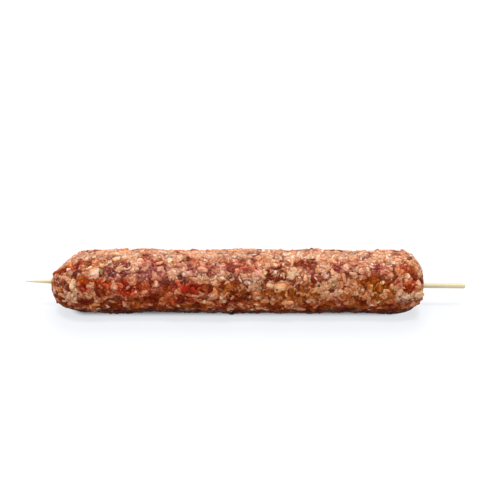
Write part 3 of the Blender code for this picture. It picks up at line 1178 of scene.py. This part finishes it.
def home_colour(tree, groups, place, own):
    """The colour of the mince where a crumb lies, as one bit of lean."""
    keys = {"Place": attribute(tree, HOME), "Fine Place": place, "Share": own}
    return place_group(tree, groups["mince"], {**keys, "Fat Share": NO_FAT, "Crumb": 1.0})["Color"]


def home_patch(tree, groups):
    """The patches of the mince where a crumb lies."""
    return place_group(tree, groups["patches"], {"Place": attribute(tree, HOME)})


# Painted shade: colour darkened towards the underside, to 0.16 of itself near the table.
def underside_shade(tree, patch):
    return ramp(tree, patch["Soaked"], 0.0, 1.0, 1.0, 0.16)


def crumb_top(tree):
    """How high a point is on its own crumb: 1 on top, 0 at the crumb's middle."""
    return times(tree, axes(tree, attribute(tree, OWN_PLACE))[2], 2.0)


def fibrous(tree, colour, own, depth):
    """A strand's colour with fibres drawn along it."""
    keys = {"Vector": attribute(tree, OWN_PLACE), "Scale": (0.5, 1.0, 1.0)}
    drawn = node(tree, "ShaderNodeMapping", keys).outputs[0]
    apart = joined(tree, times(tree, own, 50.0))
    grain = ramp(tree, noisy(tree, vectors(tree, "ADD", drawn, apart), 0.22, 3.0), 0.28, 0.72)
    return shaded(tree, colour, ramp(tree, grain, 0.0, 1.0, 1.0 - depth, 1.0 + depth))


def smeared(tree, groups, place, own, colour, cover):
    """A crumb's colour, tinted by its patch, with mince smeared on it in blotches and round its rim."""
    blotch = ramp(tree, noisy(tree, warped(tree, place, 0.0014, 0.0007), 0.0013, 3.0), 0.50, 0.66)
    covered = most(tree, times(tree, blotch, 0.8), ramp(tree, crumb_top(tree), 0.95, 0.2))
    patch = home_patch(tree, groups)
    # Painted shade towards the underside, also in the last of the tints.
    colour = shaded(tree, colour, underside_shade(tree, patch))
    for kind, tint in TINTS.items():
        keys = {0: times(tree, patch[kind], 0.9), 6: colour, 7: rgba(tint)}
        colour = node(tree, "ShaderNodeMix", keys, data_type="RGBA", blend_type="MULTIPLY").outputs[2]
    return mixed(tree, times(tree, covered, cover), colour, home_colour(tree, groups, place, own))


def bamboo_material(settings):
    """Pale bamboo: fine straight fibres along the stick, and juice soaked in beside the mince."""
    material, tree, shader = new_material("Bamboo", {"Specular IOR Level": 0.35})
    place = node(tree, "ShaderNodeTexCoord").outputs["Object"]
    drawn = node(tree, "ShaderNodeMapping", {"Vector": place, "Scale": (0.012, 1.0, 1.0)}).outputs[0]
    strands = noisy(tree, drawn, 0.00022, 3.0)
    broad = noisy(tree, drawn, 0.0011)
    streak = times(tree, ramp(tree, strands, 0.45, 0.72), 0.55)
    base = mixed(tree, streak, rgba(settings.bamboo), rgba(settings.fibre))
    base = shaded(tree, base, ramp(tree, broad, 0.3, 0.7, 0.9, 1.06))
    along = maths(tree, "ABSOLUTE", minus(tree, axes(tree, place)[0], MIDDLE_X))
    apart = minus(tree, along, HALF_LENGTH)
    apart = plus(tree, apart, times(tree, noisy(tree, drawn, 0.0006), -0.0015))
    soaked = ramp(tree, apart, 0.0012, -0.0012)
    plug(tree, shader.inputs["Base Color"], mixed(tree, soaked, base, rgba(settings.soaked)))
    plug(tree, shader.inputs["Roughness"], ramp(tree, strands, 0.3, 0.7, 0.48, 0.66))
    plug(tree, shader.inputs["Normal"], bumpy(tree, strands, 0.00006))
    return material


# Operators.


def shared_groups():
    """The shader groups that several materials use, made once."""
    made = {}
    for key, name, maker in (
        ("patches", "Mince Patches", patches_group),
        ("moist", "Moist Film", moist_group),
        ("mince", "Mince Colour", lambda: mince_group(bpy.context.scene.kofta_mince, made["patches"])),
    ):
        made[key] = bpy.data.node_groups.get(name) or maker()
    return made


class KOFTA_OT_stick(bpy.types.Operator):
    """Makes the bamboo stick with its whittled point"""

    bl_idname = "kofta.stick"
    bl_label = "Make Stick"

    def execute(self, context):
        settings = context.scene.kofta_stick
        stick = new_object("bamboo_skewer", stick_mesh(settings))
        stick.data.materials.append(bamboo_material(settings))
        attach(stick, "root")
        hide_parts("bamboo_stick")
        return {"FINISHED"}


def stick_mesh(settings):
    """A rod of fibres from a long point to a cut end, on the frame's own axis and at its radius."""
    point, cut = stick_axis()
    along = (cut - point).normalized()
    total = (cut - point).length
    low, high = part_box("bamboo_stick")
    radius = (high.y - low.y) / 2
    rod = total - CUT_CHAMFER - POINT_LENGTH
    stations = [POINT_LENGTH * (ring / POINT_RINGS) ** 1.2 for ring in range(POINT_RINGS + 1)]
    stations += [POINT_LENGTH + rod * ring / ROD_RINGS for ring in range(1, ROD_RINGS + 1)]
    stations.append(total)
    turn = Vector((1.0, 0.0, 0.0)).rotation_difference(along).to_matrix().to_4x4()
    work = bmesh.new()
    rings = []
    for station in stations:
        full = POINT_TIP + (radius - POINT_TIP) * min(1.0, station / POINT_LENGTH)
        if station >= total:
            full = radius - CUT_CHAMFER
        ring = []
        for side in range(settings.sides):
            angle = math.tau * side / settings.sides
            across = (math.cos(angle) * FIBRES_ROUND, math.sin(angle) * FIBRES_ROUND)
            uneven = noise.noise(Vector((station * FIBRES_ALONG, *across))) - 0.5
            reach = full + settings.fibre_relief * uneven * min(1.0, full / radius)
            ring.append(work.verts.new((station, reach * math.cos(angle), reach * math.sin(angle))))
        rings.append(ring)
    for first, second in zip(rings, rings[1:]):
        for side in range(settings.sides):
            after = (side + 1) % settings.sides
            work.faces.new((first[side], second[side], second[after], first[after]))
    for ring, station in ((rings[0], stations[0]), (rings[-1], stations[-1])):
        centre = work.verts.new((station, 0.0, 0.0))
        for side in range(settings.sides):
            work.faces.new((ring[side], ring[(side + 1) % settings.sides], centre))
    bmesh.ops.recalc_face_normals(work, faces=work.faces)
    bmesh.ops.transform(work, matrix=Matrix.Translation(point) @ turn, verts=work.verts)
    mesh = bpy.data.meshes.new("bamboo_skewer")
    work.to_mesh(mesh)
    work.free()
    mesh.shade_smooth()
    mesh.set_sharp_from_angle(angle=math.radians(40))
    return mesh


class KOFTA_OT_mince(bpy.types.Operator):
    """Makes the body of the mince, with the relief of its packed granules"""

    bl_idname = "kofta.mince"
    bl_label = "Make Mince"

    def execute(self, context):
        settings = context.scene.kofta_mince
        core = make_core(settings, mince_material(settings, shared_groups()))
        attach(core, "root")
        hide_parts("minced_meat")
        return {"FINISHED"}


class KOFTA_OT_crumbs(bpy.types.Operator):
    """Scatters crumbs of lean and fat over the mince"""

    bl_idname = "kofta.crumbs"
    bl_label = "Scatter Crumbs"

    def execute(self, context):
        mince, groups = context.scene.kofta_mince, shared_groups()

        def lean_paint(tree, place, own):
            return fibrous(tree, home_colour(tree, groups, place, own), own, 0.22)

        def pink_paint(tree, place, own):
            patch = home_patch(tree, groups)
            # Dry, the painted sheen along the top, also pales pink crumbs towards fat.
            faded = most(tree, most(tree, patch["Mauve"], patch["Pale"]), patch["Dry"])
            pink = mixed(tree, faded, rgba(mince.smear), rgba(mince.pink))
            pink = mixed(tree, ramp(tree, own, 0.6, 0.0, 0.0, 0.8), pink, rgba(mince.smear))
            pink = mixed(tree, times(tree, patch["Mauve"], 0.8), pink, rgba(mince.lilac))
            pink = mixed(tree, times(tree, patch["Dry"], 0.6), pink, rgba(mince.fat))
            return smeared(tree, groups, place, own, fibrous(tree, pink, own, 0.22), 0.7)

        def fat_paint(tree, place, own):
            fat = fat_colour(tree, mince, place, own, ramp(tree, crumb_top(tree), 0.95, 0.5))
            return smeared(tree, groups, place, own, fat, 0.65)

        lean, pink, fat = context.scene.kofta_lean, context.scene.kofta_pink, context.scene.kofta_fat
        soft = {**flesh(0.07), "Subsurface Weight": 0.7}
        shapes = (
            (lean, "none", lean_paint, flesh(0.05), {**STRANDS, "drawn_to_pale": -0.65}),
            (pink, "pink", pink_paint, flesh(0.05), {**STRANDS, "drawn_to_pale": 0.9}),
            (fat, "fat", fat_paint, soft, {**BITS, "drawn_to_pale": 0.9}),
        )
        for kind, lumps, paint, surface, shape in shapes:
            name = kind.bl_rna.identifier.replace("Kofta", "").lower() + "_crumbs"
            material = crumb_material(name.replace("_", " ").title(), groups, surface, paint)
            own = {key: getattr(kind, key) for key in type(kind).__annotations__}
            scatter(name, lumps, material, **own, **shape)
        return {"FINISHED"}


class KOFTA_OT_seasoning(bpy.types.Operator):
    """Scatters bits of onion, flecks of herb and specks of pepper over the mince"""

    bl_idname = "kofta.seasoning"
    bl_label = "Scatter Seasoning"

    def execute(self, context):
        mix, groups = context.scene.kofta_seasoning, shared_groups()
        for order, bit in enumerate(SEASONING):
            size = getattr(mix, bit.kind + "_size")
            paint = varied(getattr(mix, bit.kind + "_colour"), bit.dark, groups, bit.cover)
            scatter(
                bit.piece,
                bit.kind,
                crumb_material(bit.kind.title(), groups, flesh(0.07), paint),
                density=bit.density,
                size=size,
                width=bit.width,
                thickness=bit.thickness,
                lumpiness=bit.lumpiness,
                bend=size * CHOPPED_BEND,
                seed=mix.seed + order * 5,
                **CHOPPED,
            )
        return {"FINISHED"}


class KOFTA_OT_stage(bpy.types.Operator):
    """Sets the white table, the soft light and the camera"""

    bl_idname = "kofta.stage"
    bl_label = "Set Stage"

    def execute(self, context):
        settings = context.scene.kofta_stage
        set_table(settings)
        set_light(context, settings)
        set_camera(context, settings)
        return {"FINISHED"}


def set_table(settings):
    mesh = bpy.data.meshes.new("table")
    work = bmesh.new()
    bmesh.ops.create_grid(work, x_segments=1, y_segments=1, size=TABLE_REACH)
    work.to_mesh(mesh)
    work.free()
    material, tree, shader = new_material("White Table", {"Roughness": 0.75, "Specular IOR Level": 0.2})
    shader.inputs["Base Color"].default_value = rgba(settings.table)
    # Painted shadow: the table's glow dims round the log's footprint, with a painted brighter ring just beyond.
    x, y, _ = axes(tree, node(tree, "ShaderNodeTexCoord").outputs["Object"])
    beyond = maths(tree, "ABSOLUTE", minus(tree, x, MIDDLE_X))
    beyond = most(tree, minus(tree, beyond, HALF_LENGTH - LOG_HIGH.y), 0.0)
    apart = measured(tree, "LENGTH", joined(tree, beyond, y))
    shade = ramp(tree, apart, 0.0045, 0.0092, 0.15, PAINTED_HALO)
    shade = times(tree, shade, ramp(tree, apart, 0.009, 0.020, 1.0, 1 / PAINTED_HALO))
    plug(tree, shader.inputs["Emission Color"], shaded(tree, (0.93, 0.96, 1.0, 1.0), shade))
    shader.inputs["Emission Strength"].default_value = settings.table_glow
    mesh.materials.append(material)
    new_object("table", mesh)


def set_light(context, settings):
    world = bpy.data.worlds.new("White Surround")
    context.scene.world = world
    world.use_nodes = True
    tree = world.node_tree
    ground = tree.nodes["Background"]
    ground.inputs["Color"].default_value = (1.0, 1.0, 1.0, 1.0)
    seen = node(tree, "ShaderNodeLightPath").outputs["Is Camera Ray"]
    plug(tree, ground.inputs["Strength"], between(tree, seen, settings.surround, 1.0))
    for key in (lamp.key for lamp in LAMPS):
        light = bpy.data.lights.new(key, "SUN")
        light.energy = getattr(settings, key)
        light.angle = getattr(settings, key + "_width")
        obj = new_object(key, light)
        obj.rotation_euler = (math.radians(90) - getattr(settings, key + "_height"), 0.0, 0.0)


def set_camera(context, settings):
    camera = bpy.data.cameras.new("camera")
    camera.lens = settings.lens
    camera.sensor_width = 36.0
    camera.clip_start = 0.01
    obj = new_object("camera", camera)
    obj.location = (settings.camera_side, -settings.camera_distance, settings.camera_height)
    obj.rotation_euler = (math.radians(90) - settings.camera_pitch, 0.0, 0.0)
    context.scene.camera = obj
    context.scene.view_settings.view_transform = "Standard"


STEPS = (KOFTA_OT_stick, KOFTA_OT_mince, KOFTA_OT_crumbs, KOFTA_OT_seasoning, KOFTA_OT_stage)
GROUPS = {
    "kofta_mince": KoftaMince,
    "kofta_lean": KoftaLean,
    "kofta_pink": KoftaPink,
    "kofta_fat": KoftaFat,
    "kofta_seasoning": KoftaSeasoning,
    "kofta_stick": KoftaStick,
    "kofta_stage": KoftaStage,
}


class KOFTA_PT_panel(bpy.types.Panel):
    """Lists the steps that make the kofta"""

    bl_label = "Kofta Skewer"
    bl_idname = "KOFTA_PT_panel"
    bl_space_type = "VIEW_3D"
    bl_region_type = "UI"
    bl_category = "Kofta"

    def draw(self, context):
        for step in STEPS:
            self.layout.operator(step.bl_idname)
        for name, group in GROUPS.items():
            box = self.layout.box()
            for key in group.__annotations__:
                box.prop(getattr(context.scene, name), key)


def register():
    for cls in (*GROUPS.values(), *STEPS, KOFTA_PT_panel):
        bpy.utils.register_class(cls)
    for name, group in GROUPS.items():
        setattr(bpy.types.Scene, name, bpy.props.PointerProperty(type=group))


def unregister():
    for name in GROUPS:
        delattr(bpy.types.Scene, name)
    for cls in reversed((*GROUPS.values(), *STEPS, KOFTA_PT_panel)):
        bpy.utils.unregister_class(cls)


def main():
    register()
    bpy.ops.kofta.stick()
    bpy.ops.kofta.mince()
    bpy.ops.kofta.crumbs()
    bpy.ops.kofta.seasoning()
    bpy.ops.kofta.stage()


if __name__ == "__main__":
    main()
